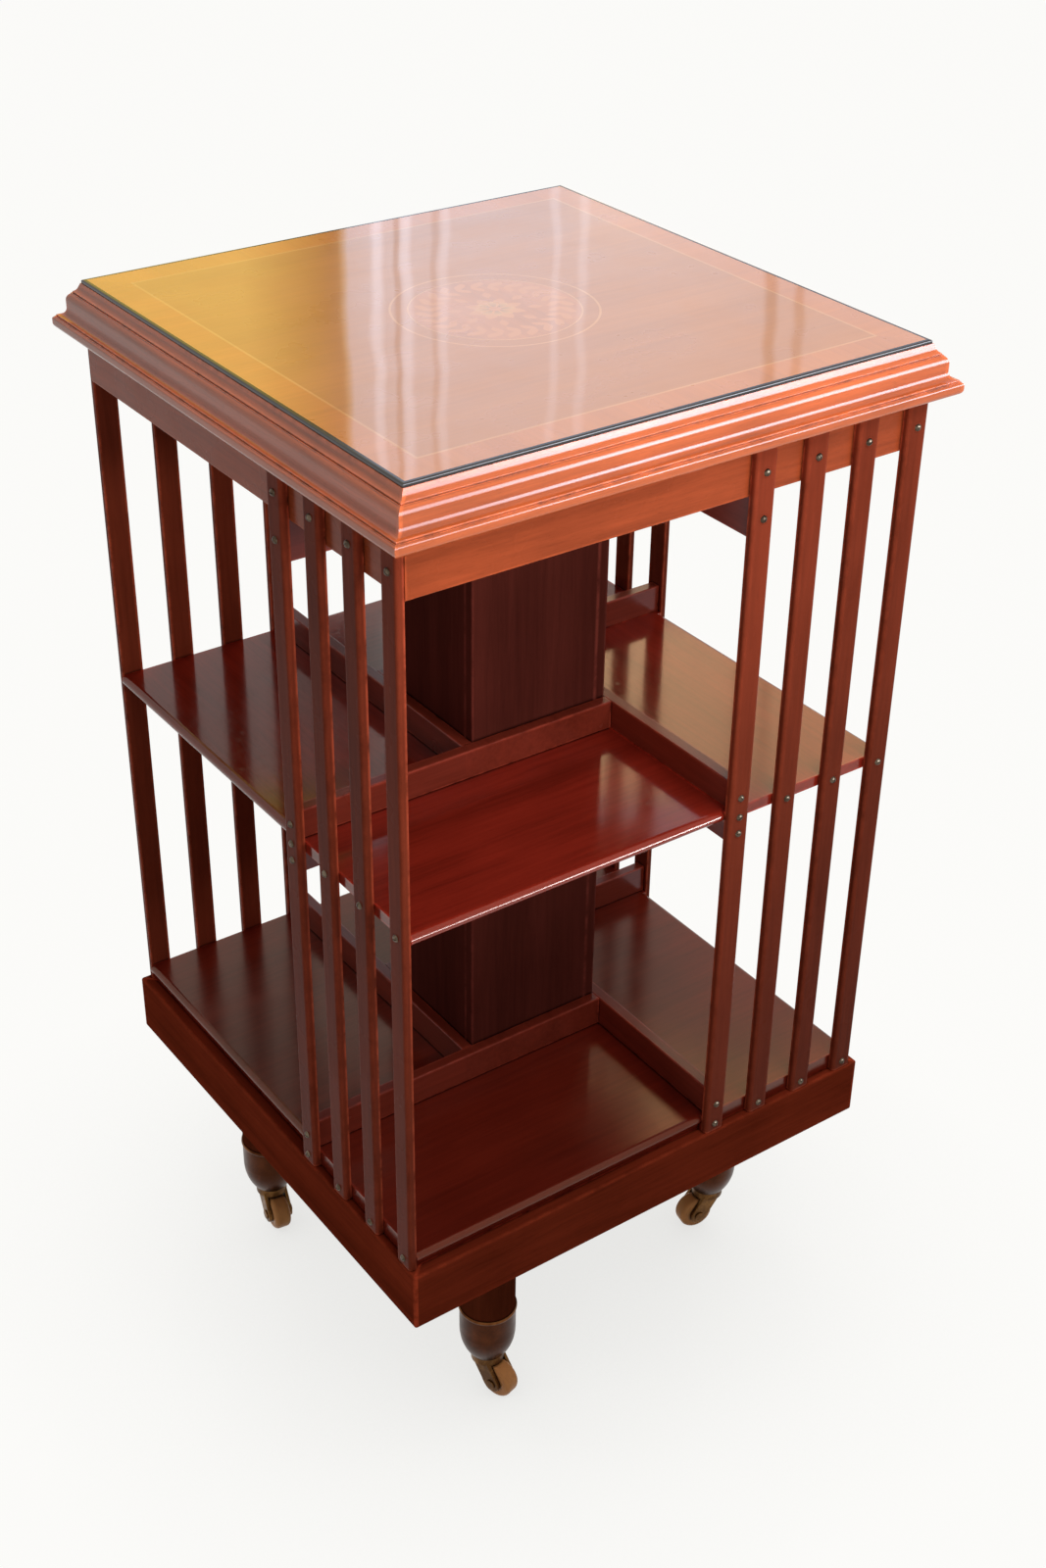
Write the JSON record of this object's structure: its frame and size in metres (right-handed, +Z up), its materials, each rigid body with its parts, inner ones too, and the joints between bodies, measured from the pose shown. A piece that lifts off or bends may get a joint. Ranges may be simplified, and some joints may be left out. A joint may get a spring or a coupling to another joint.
{
  "type": "revolving bookcase",
  "caption": "Square floor-standing revolving bookcase with slatted open sides, an inlaid top with moulded cornice, a hollow column turning on a fixed post, and a castor stand.",
  "frame": {"origin": "on the floor, under the axis of revolution", "axes": "+Z up along the axis of revolution, case faces square to X and Y, front face towards -Y"},
  "size_m": [0.46, 0.46, 0.854],
  "materials": {
    "stand_wood": "polished dark mahogany",
    "castor_brass": "dark aged brass",
    "castor_wheel": "waxed turned hardwood",
    "pivot_iron": "blacked iron",
    "fixing_steel": "plain steel",
    "bush_brass": "turned brass",
    "case_mahogany": "french polished mahogany",
    "carcase_wood": "plain mahogany",
    "top_veneer": "french polished figured veneer",
    "satinwood": "french polished satinwood",
    "boxwood": "french polished boxwood",
    "dyed_string": "black dyed and polished",
    "medallion_veneer": "french polished inlay",
    "screw_metal": "dulled round heads"
  },
  "bodies": {
    "stand": {"stand_beam_lower": "stand_wood", "stand_beam_upper": "stand_wood", "foot_front": "stand_wood", "foot_right": "stand_wood", "foot_back": "stand_wood", "foot_left": "stand_wood", "castor_cups": "castor_brass", "centre_post": "pivot_iron", "post_flange": "pivot_iron", "flange_screws": "fixing_steel"},
    "case": {"top_board": "carcase_wood", "veneer_field": "top_veneer", "crossbanding": "satinwood", "top_stringing": "boxwood", "edge_string": "dyed_string", "medallion_panel": "medallion_veneer", "cornice_front": "case_mahogany", "cornice_right": "case_mahogany", "cornice_back": "case_mahogany", "cornice_left": "case_mahogany", "frieze_front": "case_mahogany", "frieze_right": "case_mahogany", "frieze_back": "case_mahogany", "frieze_left": "case_mahogany", "soffit_board": "carcase_wood", "slats_front": "case_mahogany", "slats_right": "case_mahogany", "slats_back": "case_mahogany", "slats_left": "case_mahogany", "slat_screws": "screw_metal", "mid_shelf_front": "case_mahogany", "mid_shelf_right": "case_mahogany", "mid_shelf_back": "case_mahogany", "mid_shelf_left": "case_mahogany", "bottom_shelf": "case_mahogany", "column_panels": "case_mahogany", "top_rails": "case_mahogany", "mid_rails_upper": "case_mahogany", "mid_rails_lower": "case_mahogany", "bottom_rails": "case_mahogany", "plinth_front": "case_mahogany", "plinth_right": "case_mahogany", "plinth_back": "case_mahogany", "plinth_left": "case_mahogany", "pivot_socket": "pivot_iron", "socket_screws": "fixing_steel", "guide_bush": "bush_brass"},
    "castor_front": {"castor_fork_front": "castor_brass", "castor_axle_front": "castor_brass"},
    "wheel_front": {"castor_wheel_front": "castor_wheel"},
    "castor_right": {"castor_fork_right": "castor_brass", "castor_axle_right": "castor_brass"},
    "wheel_right": {"castor_wheel_right": "castor_wheel"},
    "castor_back": {"castor_fork_back": "castor_brass", "castor_axle_back": "castor_brass"},
    "wheel_back": {"castor_wheel_back": "castor_wheel"},
    "castor_left": {"castor_fork_left": "castor_brass", "castor_axle_left": "castor_brass"},
    "wheel_left": {"castor_wheel_left": "castor_wheel"}
  },
  "joints": [
    {"name": "case_revolve", "type": "hinge", "parent": "stand", "child": "case", "pos_m": [0, 0, 0.76], "axis": [0, 0, 1], "continuous": true},
    {"name": "castor_swivel_front", "type": "hinge", "parent": "stand", "child": "castor_front", "pos_m": [-0.11298, -0.16016, 0.05], "axis": [0, 0, 1], "continuous": true},
    {"name": "castor_roll_front", "type": "hinge", "parent": "castor_front", "child": "wheel_front", "pos_m": [-0.10962, -0.17272, 0.0155], "axis": [0.9659, 0.2588, 0], "continuous": true},
    {"name": "castor_swivel_right", "type": "hinge", "parent": "stand", "child": "castor_right", "pos_m": [0.16016, -0.11298, 0.05], "axis": [0, 0, 1], "continuous": true},
    {"name": "castor_roll_right", "type": "hinge", "parent": "castor_right", "child": "wheel_right", "pos_m": [0.14736, -0.11072, 0.0155], "axis": [-0.1736, -0.9848, 0], "continuous": true},
    {"name": "castor_swivel_back", "type": "hinge", "parent": "stand", "child": "castor_back", "pos_m": [0.11298, 0.16016, 0.05], "axis": [0, 0, 1], "continuous": true},
    {"name": "castor_roll_back", "type": "hinge", "parent": "castor_back", "child": "wheel_back", "pos_m": [0.11072, 0.17296, 0.0155], "axis": [-0.9848, -0.1736, 0], "continuous": true},
    {"name": "castor_swivel_left", "type": "hinge", "parent": "stand", "child": "castor_left", "pos_m": [-0.16016, 0.11298, 0.05], "axis": [0, 0, 1], "continuous": true},
    {"name": "castor_roll_left", "type": "hinge", "parent": "castor_left", "child": "wheel_left", "pos_m": [-0.16197, 0.10011, 0.0155], "axis": [0.9903, -0.1392, 0], "continuous": true}
  ]
}
